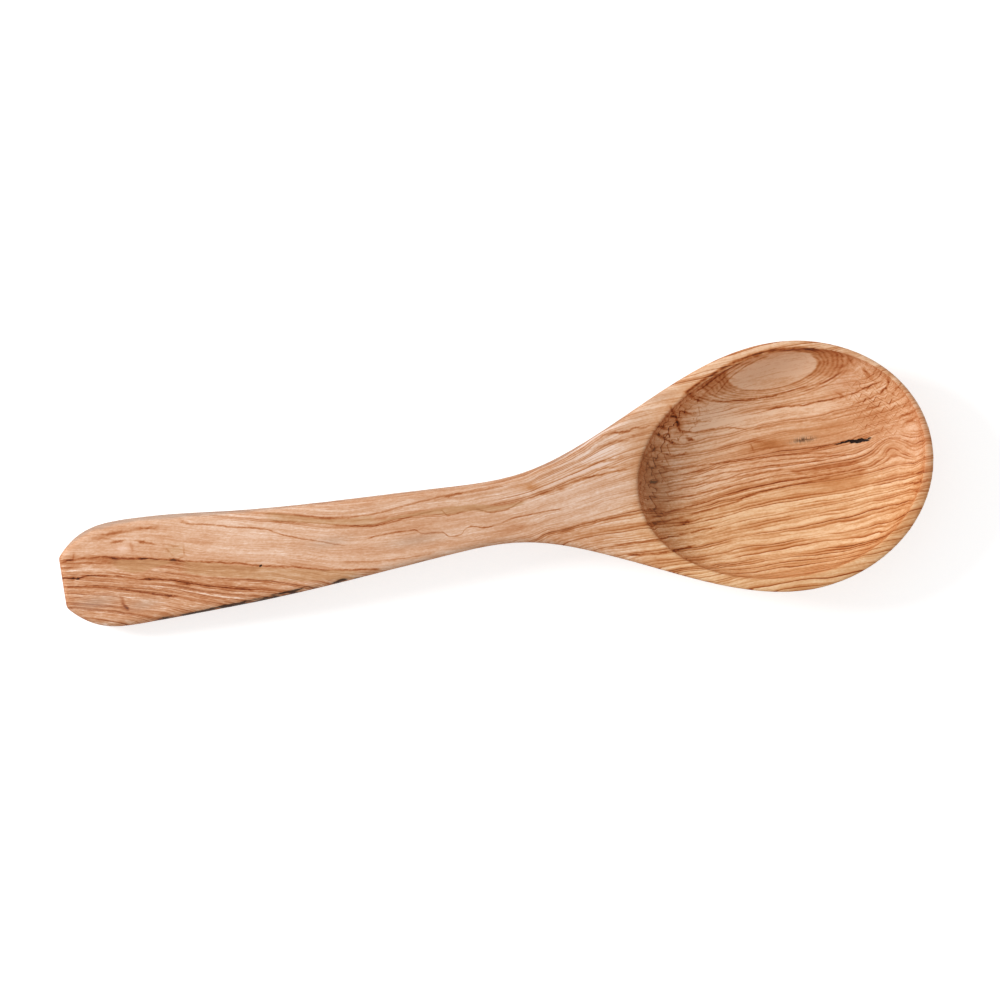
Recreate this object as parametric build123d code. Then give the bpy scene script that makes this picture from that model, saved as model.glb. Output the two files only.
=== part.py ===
import os

from build123d import *

# A wooden serving spoon, carved from one board. Lengths in mm, angles in degrees.
# X runs from the butt to the tip of the bowl, Z is up, and the spoon lies on its back:
# the bowl's underside and the butt touch Z = 0, and the rim is level.

# Length and widths, seen from above. Places are distances from the butt.
length = 250.0
butt_width = 14.6
grip_at = 22.0
grip_width = 30.0
neck_at = 124.5
neck_width = 18.1
bowl_at = 209.0
bowl_width = 70.8
butt_flare = 1.15

# Heights and thicknesses, seen from the side.
rim_height = 22.0
butt_thickness = 10.5
grip_thickness = 11.2
neck_thickness = 13.0
handle_slope = 0.09
resting_cut = 0.2

# Rounding of the upper edge, and the flat strip along the underside.
handle_ease = 2.4
rim_ease = 0.9
butt_round = 1.8
grip_keel = 13.0
neck_keel = 7.2
bowl_keel = 9.0

# The hollow of the bowl: two half ellipsoids that meet across its widest line.
hollow_at = 211.4
hollow_offset = 0.85
hollow_width = 63.4
hollow_back = 45.9
hollow_front = 36.6
hollow_depth = 16.0
hollow_turn = 6.5
lip_round = 0.6
overrun = 5.0

# Hand-made leanings: the grip bows to one side, and the bowl is turned a little to the other.
sway = 0.7
bowl_turn = 1.6

# Fullness of the curves, as the control handle's share of the curve: 0.552 makes a quarter ellipse.
quarter_round_share = 0.552
side_fullness_share = 0.6

front_length = length - bowl_at

# The handle's edge is straight between these shares of its run and of its fall from grip to neck.
taper_start_shares = (0.224, 0.20)
taper_end_shares = (0.888, 0.94)

# Where the underside has left the neck for the bowl, as shares of the way and of the deepening.
heel_shares = (0.60, 0.56)
heel_slope_share = 1.95

# Where the top becomes level, on the way from neck to bowl. Where the grip reaches its full
# thickness and its largest bow, on the way from grip to neck. The flat under the butt, of its width.
level_share = 0.18
grip_body_share = 0.18
bow_share = 0.4
butt_keel_share = 0.28

# Places of the carved sections, as shares of each stretch.
butt_shares = (0, 0.06, 0.15, 0.28, 0.45, 0.70, 1)
handle_shares = (0.12, 0.224, 0.35, 0.5, 0.65, 0.78, 0.888, 1)
flare_shares = (0.12, 0.24, 0.36, 0.48, 0.60, 0.72, 0.84, 0.93, 1)


def between(start, end, share):
    return start + (end - start) * share


def along(rail, place):
    """Size at a place on a rail of (place, size, slope) knots, by cubic pieces."""
    for (start, size0, slope0), (end, size1, slope1) in zip(rail, rail[1:]):
        if place <= end:
            break
    run = end - start
    u = (place - start) / run
    leaving = u**3 - 2 * u**2 + u
    arriving = u**3 - u**2
    step = 3 * u**2 - 2 * u**3
    return between(size0, size1, step) + run * (slope0 * leaving + slope1 * arriving)


def taper_knot(shares):
    run = neck_at - grip_at
    fall = (grip_width - neck_width) / 2
    run_share = taper_end_shares[0] - taper_start_shares[0]
    fall_share = taper_end_shares[1] - taper_start_shares[1]
    slope = -(fall * fall_share) / (run * run_share)
    return (grip_at + run * shares[0], grip_width / 2 - fall * shares[1], slope)


def heel_knot():
    run = bowl_at - neck_at
    deepening = rim_height + resting_cut - neck_thickness
    place = neck_at + run * heel_shares[0]
    return (place, neck_thickness + deepening * heel_shares[1], heel_slope_share * deepening / run)


half_width_rail = [
    (0, butt_width / 2, butt_flare),
    (grip_at, grip_width / 2, 0),
    taper_knot(taper_start_shares),
    taper_knot(taper_end_shares),
    (neck_at, neck_width / 2, 0),
    (bowl_at, bowl_width / 2, 0),
]
top_rail = [
    (0, butt_thickness, handle_slope),
    (between(neck_at, bowl_at, level_share), rim_height, 0),
    (bowl_at, rim_height, 0),
]
thickness_rail = [
    (0, butt_thickness + resting_cut, 0),
    (between(grip_at, neck_at, grip_body_share), grip_thickness, 0),
    (neck_at, neck_thickness, 0),
    heel_knot(),
    (bowl_at, rim_height + resting_cut, 0),
]
ease_rail = [
    (0, handle_ease, 0),
    (neck_at, handle_ease, 0),
    (bowl_at, rim_ease, 0),
]
keel_rail = [
    (0, butt_width * butt_keel_share, 0),
    (grip_at, grip_keel / 2, 0),
    (neck_at, neck_keel / 2, 0),
    (bowl_at, bowl_keel / 2, 0),
]
sway_rail = [
    (0, sway / 2, 0),
    (grip_at, sway / 2, 0),
    (between(grip_at, neck_at, bow_share), -sway, 0),
    (neck_at, sway / 2, 0),
    (between(neck_at, bowl_at, bow_share), 0, 0),
    (bowl_at, 0, 0),
]


def half_profile(place, side=1):
    """One side of a section, from the middle of the top down to the middle of the underside."""
    half = along(half_width_rail, place)
    top = along(top_rail, place)
    bottom = top - along(thickness_rail, place)
    ease = along(ease_rail, place)
    keel = along(keel_rail, place)
    shoulder = top - ease
    bulge = side_fullness_share * (shoulder - bottom)
    return [
        Line((0, top), (side * (half - ease), top)),
        Bezier(
            (side * (half - ease), top),
            (side * (half - ease + quarter_round_share * ease), top),
            (side * half, shoulder + quarter_round_share * ease),
            (side * half, shoulder),
        ),
        Bezier(
            (side * half, shoulder),
            (side * half, shoulder - bulge),
            (side * between(keel, half, side_fullness_share), bottom),
            (side * keel, bottom),
        ),
        Line((side * keel, bottom), (0, bottom)),
    ]


def section(place, turn=0):
    """A whole section, standing upright across the spoon at a place on its centre line."""
    outline = Wire(half_profile(place) + half_profile(place, side=-1))
    across = Plane((0, 0, 0), x_dir=(0, 1, 0), z_dir=(1, 0, 0))
    return Pos(place, along(sway_rail, place), 0) * Rot(0, 0, turn) * (across * Face(outline))


def handle_and_flare():
    """Butt, grip, neck and the back of the bowl: one loft through the carved sections."""
    places = [grip_at * share for share in butt_shares]
    places += [between(grip_at, neck_at, share) for share in handle_shares]
    places += [between(neck_at, bowl_at, share) for share in flare_shares]
    sections = [section(place) for place in places[:-1]]
    sections.append(section(places[-1], bowl_turn))
    blank = loft(sections)
    end = blank.faces().sort_by(Axis.X)[0]
    return fillet(end.edges(), butt_round)


def front_of_bowl():
    """The rounded tip: the widest section, turned half a circle and stretched lengthwise."""
    outline = Wire(half_profile(bowl_at) + [Line((0, -resting_cut), (0, rim_height))])
    upright = Plane.XZ * Face(outline)
    half_turn = revolve(Rot(0, 0, -90) * upright, Axis.Z, 180)
    stretched = scale(half_turn, by=(front_length / (bowl_width / 2), 1, 1))
    return Pos(bowl_at, 0, 0) * Rot(0, 0, bowl_turn) * stretched


def hollow_half(reach):
    """Half of the cutter of the hollow, on the +X side of its widest line."""
    half = hollow_width / 2
    rim = half + lip_round
    quarter = [
        Line((0, overrun), (rim, overrun)),
        Line((rim, overrun), (rim, lip_round / 4)),
        Bezier((rim, lip_round / 4), (half, -lip_round / 4), (half, -lip_round)),
        Bezier(
            (half, -lip_round),
            (half, between(-lip_round, -hollow_depth, quarter_round_share)),
            (quarter_round_share * half, -hollow_depth),
            (0, -hollow_depth),
        ),
        Line((0, -hollow_depth), (0, overrun)),
    ]
    upright = Plane.XZ * Face(Wire(quarter))
    half_turn = revolve(Rot(0, 0, -90) * upright, Axis.Z, 180)
    return scale(half_turn, by=(reach / half, 1, 1))


def hollow():
    cutter = hollow_half(hollow_front) + Rot(0, 0, 180) * hollow_half(hollow_back)
    return Pos(hollow_at, hollow_offset, rim_height) * Rot(0, 0, hollow_turn) * cutter


def spoon():
    body = handle_and_flare() + front_of_bowl()
    body = body - hollow()
    body = split(body, Plane.XY, keep=Keep.TOP)
    return Pos(-length / 2, 0, 0) * body


if __name__ == "__main__":
    os.makedirs("parts", exist_ok=True)
    export_step(spoon(), "parts/spoon.step")
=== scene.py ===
import math
from types import SimpleNamespace

import bpy
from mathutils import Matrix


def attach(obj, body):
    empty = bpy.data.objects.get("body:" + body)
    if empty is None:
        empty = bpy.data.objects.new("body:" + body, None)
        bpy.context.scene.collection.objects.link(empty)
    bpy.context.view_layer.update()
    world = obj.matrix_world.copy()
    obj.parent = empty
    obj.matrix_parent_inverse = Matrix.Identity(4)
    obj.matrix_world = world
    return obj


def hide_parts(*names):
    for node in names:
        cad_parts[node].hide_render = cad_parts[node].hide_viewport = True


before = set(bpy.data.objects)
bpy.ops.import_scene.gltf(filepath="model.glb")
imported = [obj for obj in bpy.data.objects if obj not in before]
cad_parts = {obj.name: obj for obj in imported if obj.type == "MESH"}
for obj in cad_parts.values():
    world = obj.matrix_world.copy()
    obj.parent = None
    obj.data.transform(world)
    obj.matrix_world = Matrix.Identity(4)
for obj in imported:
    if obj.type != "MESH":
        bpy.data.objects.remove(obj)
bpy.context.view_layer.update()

MM = 0.001

# The photograph's frame: the spoon's length lies 9.2 degrees up to the right, 0.2832 mm a pixel,
# and the middle of the picture is this far from the middle of the spoon.
PICTURE_SPAN = 283.2 * MM
PICTURE_MIDDLE = (1.7 * MM, 3.7 * MM)
PICTURE_TURN = math.radians(9.2)
SUBJECT_HEIGHT = 19 * MM
LENS = 240.0
SENSOR = 36.0

# Light: a soft key from the upper left of the picture, over a pale room.
KEY_AZIMUTH = math.radians(152)
KEY_ELEVATION = math.radians(40)
KEY_DISTANCE = 0.9
KEY_SIZE = 0.30
KEY_POWER = 5.0
ROOM_LIGHT = 0.53
FLOOR_COLOUR = (0.80, 0.80, 0.80, 1.0)
FLOOR_GLOW = 0.58

# Surface of the piece: fineness of its mesh, unevenness left by hand work, and depth of the pores.
GRAIN_OF_MESH = 0.70 * MM
HAND_WORK = 0.10 * MM
HAND_WORK_SPAN = 16 * MM
PORE_DEPTH = 0.10 * MM


def choose_only(piece):
    bpy.ops.object.select_all(action="DESELECT")
    piece.select_set(True)
    bpy.context.view_layer.objects.active = piece


def apply_modifier(piece, kind, name, **settings):
    modifier = piece.modifiers.new(name, kind)
    for key, value in settings.items():
        setattr(modifier, key, value)
    choose_only(piece)
    bpy.ops.object.modifier_apply(modifier=modifier.name)


# ---------------------------------------------------------------- nodes
def node(tree, kind, inputs=None, **settings):
    """A shader node with its settings, and its sockets linked or filled in."""
    made = tree.nodes.new(kind)
    for key, value in settings.items():
        setattr(made, key, value)
    for key, value in (inputs or {}).items():
        socket = made.inputs[key]
        if isinstance(value, bpy.types.NodeSocket):
            tree.links.new(value, socket)
        else:
            socket.default_value = value
    return made


def calc(tree, operation, first, second=0.0, third=0.0, clamp=False):
    return node(
        tree, "ShaderNodeMath", {0: first, 1: second, 2: third}, operation=operation, use_clamp=clamp
    ).outputs[0]


def ramp(tree, value, low, high, start=0.0, end=1.0, smooth=True):
    """Value carried from low..high to start..end, held at the ends."""
    return node(
        tree,
        "ShaderNodeMapRange",
        {"Value": value, "From Min": low, "From Max": high, "To Min": start, "To Max": end},
        interpolation_type="SMOOTHSTEP" if smooth else "LINEAR",
        clamp=True,
    ).outputs["Result"]


def blend_colour(tree, share, under, over, blend="MIX"):
    made = node(tree, "ShaderNodeMix", data_type="RGBA", blend_type=blend, clamp_factor=True)
    for socket, value in ((made.inputs[0], share), (made.inputs[6], under), (made.inputs[7], over)):
        if isinstance(value, bpy.types.NodeSocket):
            tree.links.new(value, socket)
        else:
            socket.default_value = value
    return made.outputs[2]


# Noises: (wavelengths in mm along X, Y and Z, detail, roughness, offset in wavelengths).
NOISES = {
    # Bends of the growth lines.
    "slow_wave": ((55.0, 20.0, 16.0), 1.0, 0.5, (0.3, 0.1, 0.0)),
    "wave": ((20.0, 7.0, 6.0), 2.0, 0.5, (3.0, 7.0, 1.0)),
    "small_wave": ((7.0, 1.8, 1.8), 2.0, 0.6, (8.0, 2.0, 5.0)),
    "lobes": ((9.0, 6.0, 9.0), 1.0, 0.5, (2.0, 8.0, 0.0)),
    "ring_pace": ((1.0, 4.5, 1.0), 1.0, 0.5, (0.0, 0.0, 0.0)),
    # Tone and fibres, which follow the growth lines or the solid.
    "waning": ((28.0, 1.3, 9.0), 2.0, 0.5, (7.0, 3.0, 1.0)),
    "tone": ((60.0, 2.2, 14.0), 3.0, 0.6, (1.0, 2.0, 3.0)),
    "mottle": ((9.0, 5.0, 5.0), 3.0, 0.6, (4.0, 2.0, 3.0)),
    "fibre": ((14.0, 0.30, 1.2), 2.0, 0.6, (5.0, 1.0, 4.0)),
    "hair": ((6.0, 0.13, 0.6), 2.0, 0.6, (2.0, 6.0, 1.0)),
    "speck": ((0.9, 0.45, 0.45), 1.0, 0.5, (2.0, 6.0, 1.0)),
    "fleck": ((2.6, 0.42, 1.0), 2.0, 0.6, (7.0, 1.0, 3.0)),
    "pores": ((5.0, 0.22, 0.8), 2.0, 0.6, (2.0, 6.0, 1.0)),
    # Unsteadiness of the single lines and strokes.
    "shiver": ((3.0, 3.0, 3.0), 3.0, 0.65, (0.0, 0.0, 0.0)),
    "sideways": ((3.0, 3.0, 3.0), 3.0, 0.65, (9.0, 3.0, 6.0)),
    "breaks": ((2.6, 1.4, 1.4), 2.0, 0.6, (1.0, 7.0, 2.0)),
    "ripple": ((4.6, 3.6, 3.6), 1.6, 0.55, (1.0, 4.0, 9.0)),
    # Bark.
    "bark_edge": ((3.0, 0.6, 1.0), 3.0, 0.7, (3.0, 3.0, 3.0)),
    "bristle": ((0.42, 1.6, 1.6), 1.0, 0.6, (1.0, 0.0, 0.0)),
    "bark_gaps": ((7.0, 3.0, 3.0), 2.0, 0.6, (4.0, 1.0, 0.0)),
}


def noise(tree, point, name):
    """Smooth noise from -1 to 1, on a point in mm."""
    wavelengths, detail, roughness, offset = NOISES[name]
    stretch = [1.0 / length for length in wavelengths]
    place = node(tree, "ShaderNodeMapping", {"Vector": point, "Scale": stretch, "Location": offset})
    made = node(
        tree,
        "ShaderNodeTexNoise",
        {"Vector": place.outputs["Vector"], "Scale": 1.0, "Detail": detail, "Roughness": roughness},
    )
    return calc(tree, "MULTIPLY_ADD", made.outputs["Fac"], 2.0, -1.0)


def new_group(name, inputs, outputs):
    group = bpy.data.node_groups.new(name, "ShaderNodeTree")
    for label, kind in inputs:
        group.interface.new_socket(label, in_out="INPUT", socket_type=kind)
    for label, kind in outputs:
        group.interface.new_socket(label, in_out="OUTPUT", socket_type=kind)
    start = group.nodes.new("NodeGroupInput")
    end = group.nodes.new("NodeGroupOutput")
    return group, start, end


def use(tree, group, inputs):
    return node(tree, "ShaderNodeGroup", inputs, node_tree=group)


def patch_group():
    """A soft oval patch: 1 in the middle, 0 outside.

    U and V, the distances from its middle along and across it, are each a share of X, a share of Y
    and a shift.
    """
    shares = ("U of X", "U of Y", "U", "V of X", "V of Y", "V")
    group, start, end = new_group(
        "soft_patch",
        [(label, "NodeSocketFloat") for label in ("X", "Y") + shares],
        [("Mask", "NodeSocketFloat")],
    )
    x, y = start.outputs["X"], start.outputs["Y"]
    square = 0.0
    for name in ("U", "V"):
        share = calc(group, "MULTIPLY_ADD", x, start.outputs[name + " of X"], start.outputs[name])
        share = calc(group, "MULTIPLY_ADD", y, start.outputs[name + " of Y"], share)
        square = calc(group, "MULTIPLY_ADD", share, share, square)
    mask = calc(group, "EXPONENT", calc(group, "MULTIPLY", square, -1.0))
    group.links.new(mask, end.inputs["Mask"])
    return group


PATCH = patch_group()


def patch(tree, place, middle, size, turn=0.0):
    """A soft oval patch seen from above, at a place given as its X and Y in mm."""
    cosine, sine = math.cos(math.radians(turn)), math.sin(math.radians(turn))
    inputs = {"X": place[0], "Y": place[1]}
    for name, along, across, reach in (("U", cosine, sine, size[0]), ("V", -sine, cosine, size[1])):
        inputs[name + " of X"] = along / reach
        inputs[name + " of Y"] = across / reach
        inputs[name] = -(middle[0] * along + middle[1] * across) / reach
    return use(tree, PATCH, inputs).outputs["Mask"]


def stroke(tree, place, start, end, half_width):
    """A soft stroke from one place to another, seen from above."""
    run, rise = end[0] - start[0], end[1] - start[1]
    middle = ((start[0] + end[0]) / 2, (start[1] + end[1]) / 2)
    return patch(
        tree, place, middle, (math.hypot(run, rise) / 2, half_width), math.degrees(math.atan2(rise, run))
    )


def rail(tree, x, knots):
    """A size that changes along the spoon, through (place, size) knots."""
    first, last = knots[0][0], knots[-1][0]
    low = min(size for place, size in knots) - 1.0
    span = max(size for place, size in knots) + 1.0 - low
    share = calc(tree, "MULTIPLY_ADD", x, 1.0 / (last - first), -first / (last - first))
    made = node(tree, "ShaderNodeFloatCurve", {"Value": share})
    made.mapping.extend = "HORIZONTAL"
    curve = made.mapping.curves[0]
    places = [((place - first) / (last - first), (size - low) / span) for place, size in knots]
    curve.points[0].location = places[0]
    curve.points[-1].location = places[-1]
    for place in places[1:-1]:
        curve.points.new(*place)
    made.mapping.update()
    return calc(tree, "MULTIPLY_ADD", made.outputs["Value"], span, low)


def thin_line(tree, across, width):
    """A single line, where the distance across it is nought."""
    away = calc(tree, "DIVIDE", across, width)
    return calc(tree, "EXPONENT", calc(tree, "MULTIPLY", calc(tree, "MULTIPLY", away, away), -1.0))


def drawn_line(tree, along, across, knots, width, fade=2.5):
    """A single line through (along, across) knots, faded out at both ends."""
    line = thin_line(tree, calc(tree, "SUBTRACT", across, rail(tree, along, knots)), width)
    line = calc(tree, "MULTIPLY", line, ramp(tree, along, knots[0][0], knots[0][0] + fade))
    return calc(tree, "MULTIPLY", line, ramp(tree, along, knots[-1][0] - fade, knots[-1][0], 1.0, 0.0))


def banded(tree, along, across, upper, lower, soft=0.35, fade_in=4, fade_out=3):
    """Between two edges, each through (along, across) knots."""
    below = ramp(tree, calc(tree, "SUBTRACT", rail(tree, along, upper), across), 0.0, soft)
    above = ramp(tree, calc(tree, "SUBTRACT", across, rail(tree, along, lower)), 0.0, soft)
    first, last = upper[0][0], upper[-1][0]
    begun = ramp(tree, along, first, first + fade_in)
    ends = calc(tree, "MULTIPLY", begun, ramp(tree, along, last - fade_out, last, 1.0, 0.0))
    return calc(tree, "MULTIPLY", calc(tree, "MULTIPLY", below, above), ends)


def total(tree, parts):
    """Sum of (mask, amount) pairs. A generator of parts makes each mask just before it is added."""
    whole = 0.0
    for mask, amount in parts:
        whole = calc(tree, "MULTIPLY_ADD", mask, amount, whole)
    return whole


def product(tree, *factors):
    whole = factors[0]
    for factor in factors[1:]:
        whole = calc(tree, "MULTIPLY", whole, factor)
    return whole


# ---------------------------------------------------------------- figure of the wood
# In these tables places and sizes are in mm from the middle of the spoon, along it and across it.
# Growth lines lie round a pith line that runs beside the bowl.
PITH_SIDE = 50.0
PITH_HEIGHT = 1.0
RING = 1.75

# Along the spoon they drift to one side, and spread out towards the bowl: (place, size).
DRIFT = (
    (-125, 16.7), (-115, 14.5), (-105, 12.0), (-95, 9.3), (-85, 6.2), (-75, 3.5), (-65, 0.9), (-55, -2.0),
    (-45, -4.9), (-35, -6.4), (-25, -6.9), (-15, -7.7), (-5, -8.1), (5, -7.9), (15, -5.7), (25, -3.3),
    (35, -1.3), (45, -0.5), (60, -0.4), (80, 0.0), (100, 0.2), (125, 1.0),
)
SPREAD = (
    (-125, 0.78), (-90, 1.0), (-40, 1.0), (5, 1.0), (22, 1.2), (40, 1.5), (60, 1.6), (125, 1.6),
)

# Where the pale heartwood begins and ends, as distance from the pith: (place, distance).
PALE_FROM = (
    (-125, 45.0), (-60, 45.5), (10, 44.5), (30, 44.0), (50, 36.0), (125, 36.0),
)
PALE_TO = (
    (-125, 57.6), (-40, 57.2), (10, 54.0), (30, 55.0), (42, 52.0), (55, 48.0), (125, 47.6),
)

# The pale oval high on the side of the hollow, and the thin lines nested round it, closer together
# towards its edge: (place in shares of the oval, width, darkening).
OVAL_MIDDLE = (83.8, 27.7, 0.0)
OVAL_SIZE = (13.3, 5.3)
OVAL_LINES = (
    (1.00, 0.040, 0.95),
    (1.10, 0.028, 0.60),
    (1.19, 0.028, 0.70),
    (1.31, 0.035, 0.55),
    (1.42, 0.028, 0.60),
    (1.53, 0.032, 0.80),
    (1.66, 0.030, 0.45),
)

# Stepped lines down the back wall of the hollow: (middle, size, turn, darkening of band and of line).
STEPS_SPACING = 2.3
STEPS = (
    ((52.5, 15.5), (13.0, 5.0), 54.0, 0.45, 1.9),
    ((45.0, 0.0), (3.6, 8.0), 0.0, 0.60, 1.3),
)

# Stairs near the tip of the hollow, given in the same way.
STAIRS_SPACING = 1.45
STAIRS = (
    ((112.0, 11.0), (7.5, 5.5), -20.0, 0.35, 1.6),
    ((111.0, 20.0), (7.0, 6.0), 0.0, 0.30, 0.8),
)

# Single lines: (width, darkening, knots of the line along the spoon and across it).
LINE_FINENESS = 0.85
DRAWN_LINES = (
    (0.32, 1.05, ((-126, 6.0), (-118, 6.3), (-112, 5.6), (-109, 4.9), (-104, 4.0), (-100, 3.2),
                  (-95, 2.3), (-88, 0.6), (-80, -1.0), (-75, -2.0), (-68, -4.0), (-60, -5.5), (-50, -8.0),
                  (-42, -9.3), (-34, -10.4))),
    (1.10, 0.35, ((-124, 5.0), (-112, 4.6), (-104, 3.0), (-95, 1.3), (-88, -0.5), (-80, -2.2), (-68, -5.0))),
    (0.20, 1.40, ((-128, 2.3), (-122.5, 1.2), (-120, 0.9), (-117, 1.1), (-112, 0.3), (-107, -0.9),
                  (-103, -2.1), (-98, -2.9))),
    (0.32, 0.95, ((-104, -2.0), (-98, -3.0), (-90, -5.2), (-84, -7.2), (-78, -8.6), (-70, -10.6))),
    (0.32, 1.05, ((-126, -0.8), (-117, -2.0), (-110, -3.6), (-104, -5.6), (-100, -6.9), (-92, -8.9))),
    (0.24, 0.85, ((-90, 12.4), (-86, 11.0), (-80, 9.8), (-74, 8.2), (-69, 7.2), (-65, 6.0), (-60, 3.5),
                  (-52, 0.8), (-47, -1.0), (-43, -2.2))),
    (0.22, 0.95, ((-39, -1.5), (-34, -0.8), (-24, -0.8), (-21.5, -2.1), (-16, -2.6), (-14, -4.2),
                  (-11.5, -4.4), (-9.5, -3.0), (-7, -2.5), (-4, -3.3), (0, -3.0), (5, -2.0), (20, -1.5))),
    (0.26, 0.90, ((-64, 8.4), (-50, 5.4), (-40, 3.0), (-33, 2.3), (-22, 3.3), (-15.5, 3.6), (-13.5, 1.9),
                  (-11, 2.0), (-6, 2.2), (0, 0.6), (8, 2.4), (14, 3.6), (20, 4.8), (28, 6.0), (40, 6.6))),
    (0.32, 0.70, ((-66, 10.8), (-52, 7.6), (-45, 6.0), (-35, 5.5), (-25, 6.4), (-12, 7.4), (4, 7.4))),
    (0.85, 0.40, ((-62, 9.0), (-50, 6.4), (-42, 4.6), (-36, 4.0), (-30, 3.6), (-20, 4.2), (-10, 3.2),
                  (0, 2.0), (10, 4.0))),
    (0.26, 0.50, ((-46, -6.3), (-35, -7.8), (-28, -8.2), (-18, -7.9))),
    (0.60, 0.40, ((-116, 11.4), (-110, 11.8), (-103, 11.9), (-94, 11.8))),
    (0.30, 1.10, ((60, 25.0), (64, 22.6), (68, 21.3), (72, 20.9), (84, 20.6), (90, 21.4), (96, 21.8),
                  (101, 23.0), (105, 26.5))),
    (0.26, 1.40, ((80, 17.0), (85, 17.1), (90, 16.6), (97, 16.9), (102, 17.0), (106, 17.6), (110, 18.8),
                  (115, 19.8))),
    (0.26, 0.90, ((53, 14.6), (56, 14.5), (60, 13.8), (66, 13.9), (70, 13.6), (75, 11.6))),
    (0.30, 0.55, ((75, 11.8), (84, 12.1), (90, 11.9), (99, 11.8))),
    (0.26, 1.30, ((31, -14.0), (38, -14.3), (44, -14.4), (50, -14.2), (62, -13.6))),
    (0.30, 1.70, ((34, -17.2), (38, -17.8), (44, -18.4), (48, -18.4), (55, -17.7))),
    (0.34, 1.05, ((46, -10.0), (56, -9.0), (66, -7.8), (75, -6.0), (85, -5.3), (95, -5.0), (107, -4.4))),
    (0.50, 0.80, ((84, -1.4), (92, -2.0), (100, -2.0), (108, -1.4))),
    # Painted shadow: this line and the next run along the hollow's upper edge, where the steep far wall is in
    # shade.
    (0.50, 1.90, ((57, 24.6), (61, 26.6), (66, 28.9), (70, 30.4), (75, 31.9), (80, 32.8), (86, 33.1),
                  (92, 32.5), (98, 30.8))),
    (0.28, 1.10, ((60, 24.4), (65, 26.8), (69, 28.9), (73, 30.4), (78, 31.9), (82, 32.4))),
    (0.26, 0.90, ((63, 23.6), (67, 26.0), (71, 28.4), (75, 30.2), (79, 31.4))),
    (0.24, 0.90, ((66, 22.6), (69, 25.2), (72, 27.6), (76, 29.7), (80, 31.2), (84, 32.0))),
    (0.26, 0.90, ((44, 3.6), (56, 4.3), (66, 4.1), (76, 3.8), (86, 3.2), (98, 1.8))),
    (0.22, 0.80, ((46, 2.4), (56, 2.7), (68, 2.6), (80, 2.3), (92, 1.4), (104, 0.4))),
    (0.26, 0.80, ((46, 0.4), (56, 0.9), (68, 1.1), (80, 0.9), (96, 0.0))),
    (0.24, 0.80, ((48, -1.8), (58, -1.0), (70, -0.6), (84, -0.5))),
    (0.30, 0.80, ((46, -4.4), (56, -3.7), (68, -2.9), (80, -2.4), (92, -3.0), (106, -2.6))),
    (0.28, 0.90, ((44, -7.4), (56, -6.6), (68, -5.0), (80, -4.0), (94, -4.0), (106, -3.4))),
)

# Crisp-edged tan bands: (upper edge, lower edge), each through knots along the spoon and across it.
BAND_SHARE = 0.42
BANDS = (
    (((-66, 11.6), (-55, 8.4), (-50, 6.9), (-42, 5.4), (-36, 5.4), (-33, 4.8)),
     ((-66, 8.8), (-55, 6.2), (-50, 5.0), (-42, 3.4), (-35, 2.5), (-33, 2.5))),
    (((-36, 3.3), (-25, 4.0), (-15, 4.2), (-5, 3.6), (0, 2.4), (3, 2.2), (10, 3.0)),
     ((-36, 2.3), (-25, 2.9), (-15, 2.2), (-12.5, 1.8), (-8, 1.9), (-4, 1.2), (0, 0.6), (4, 0.7),
      (10, 2.0))),
    (((-112, 5.2), (-104, 3.8), (-98, 2.8), (-92, 1.6)),
     ((-112, 3.9), (-107, 0.8), (-103, -0.4), (-98, 0.4), (-92, 0.4))),
    (((-92, 1.6), (-80, -1.2), (-68, -4.2), (-56, -6.6), (-40, -9.8)),
     ((-92, -2.2), (-80, -5.4), (-68, -8.0), (-56, -10.4), (-40, -12.0))),
)

# Soft oval areas: (middle, size, turn, darkening).
AREAS = (
    ((47.0, 5.0), (7.0, 16.0), -20.0, -0.22),
    ((18.0, 7.0), (14.0, 6.0), 15.0, -0.14),
    ((123.0, 2.0), (4.0, 16.0), 0.0, -0.14),
    # Partly darker wood, partly painted shade on the hollow's left wall.
    ((43.0, 3.0), (3.0, 9.0), 0.0, 0.30),
    ((28.0, 12.0), (14.0, 7.0), 0.0, -0.30),
    ((30.0, -12.0), (14.0, 6.0), 0.0, -0.32),
    # Partly darker wood, partly painted shade on the hollow's left wall.
    ((45.5, 3.0), (6.0, 15.0), 0.0, 0.50),
    # Partly darker wood, partly painted shade on the hollow's upper left wall.
    ((53.5, 18.5), (11.0, 4.5), 48.0, 0.42),
    ((-105.5, 2.4), (5.5, 1.6), -10.0, 0.30),
    ((92.0, 5.0), (26.0, 6.0), 0.0, 0.25),
    ((79.5, 7.0), (5.0, 1.5), 0.0, 0.35),
    ((96.0, -6.8), (11.0, 1.8), -3.0, 0.50),
    ((4.0, -4.8), (5.0, 1.8), 10.0, 0.30),
    ((110.0, 12.0), (9.0, 12.0), 0.0, 0.20),
    ((64.0, 16.0), (10.0, 5.0), 0.0, -0.15),
    ((-24.0, 1.0), (13.0, 1.8), 0.0, 0.20),
)

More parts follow.
